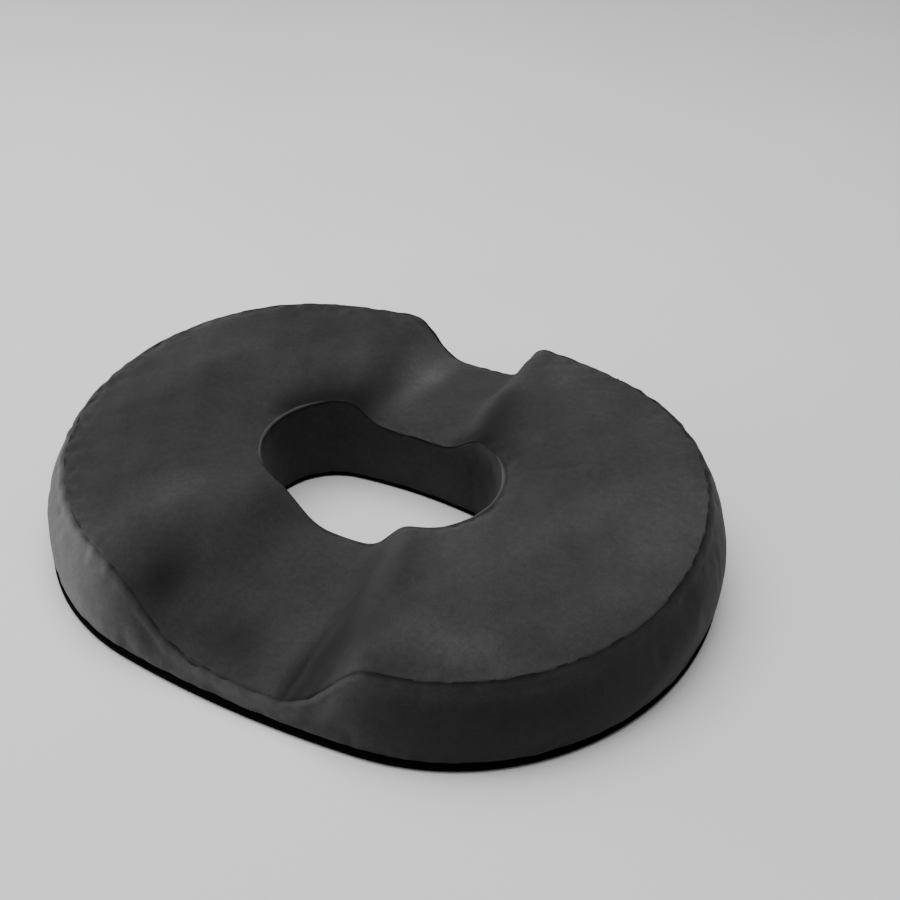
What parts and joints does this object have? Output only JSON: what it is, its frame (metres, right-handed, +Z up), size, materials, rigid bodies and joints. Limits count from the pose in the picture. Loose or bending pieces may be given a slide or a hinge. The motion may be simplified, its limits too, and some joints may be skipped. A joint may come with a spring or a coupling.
{
  "type": "seat cushion",
  "caption": "Oval foam seat cushion with a central hole, a rear coccyx channel and a flared front channel, in a zipped dark velour cover.",
  "frame": {"origin": "middle of the footprint, on the surface that the grip dots stand on", "axes": "+X to the sitter's right, +Y to the rear (coccyx channel and zip), +Z up"},
  "size_m": [0.4676, 0.3544, 0.0808],
  "materials": {
    "velour": "matte",
    "foam": "matte",
    "base_cloth": "matte",
    "grip_rubber": "matte",
    "zip_tape": "matte",
    "zip_teeth": "satin",
    "zip_metal": "satin"
  },
  "bodies": {
    "cushion": {"foam_core": "foam", "cover_top_panel": "velour", "cover_side_band": "velour", "cover_rear_strip_upper": "velour", "cover_rear_strip_lower": "velour", "cover_hole_band": "velour", "cover_base_panel": "base_cloth", "base_grip_dots": "grip_rubber", "top_edge_seam": "velour", "hole_rim_seam": "velour", "base_edge_binding": "base_cloth", "hole_base_binding": "base_cloth", "band_seam_left": "velour", "band_seam_right": "velour", "hole_band_seam": "velour", "zip_tape_upper": "zip_tape", "zip_tape_lower": "zip_tape", "zip_teeth_upper": "zip_teeth", "zip_teeth_lower": "zip_teeth", "zip_top_stop": "zip_metal", "zip_bottom_stop": "zip_metal"},
    "zip_slider": {"zip_slider_body": "zip_metal", "zip_slider_back_plate": "zip_metal"},
    "zip_pull": {"zip_pull_tab": "zip_metal"}
  },
  "joints": [
    {"name": "slider_travel", "type": "hinge", "parent": "cushion", "child": "zip_slider", "pos_m": [0, -0.2765, 0.018], "axis": [0, 0, -1], "range_deg": [0, 24.4]},
    {"name": "pull_swing", "type": "hinge", "parent": "zip_slider", "child": "zip_pull", "pos_m": [-0.09554, 0.16538, 0.0189], "axis": [0.0574, -0.2657, 0.9624], "range_deg": [0, 175]}
  ]
}
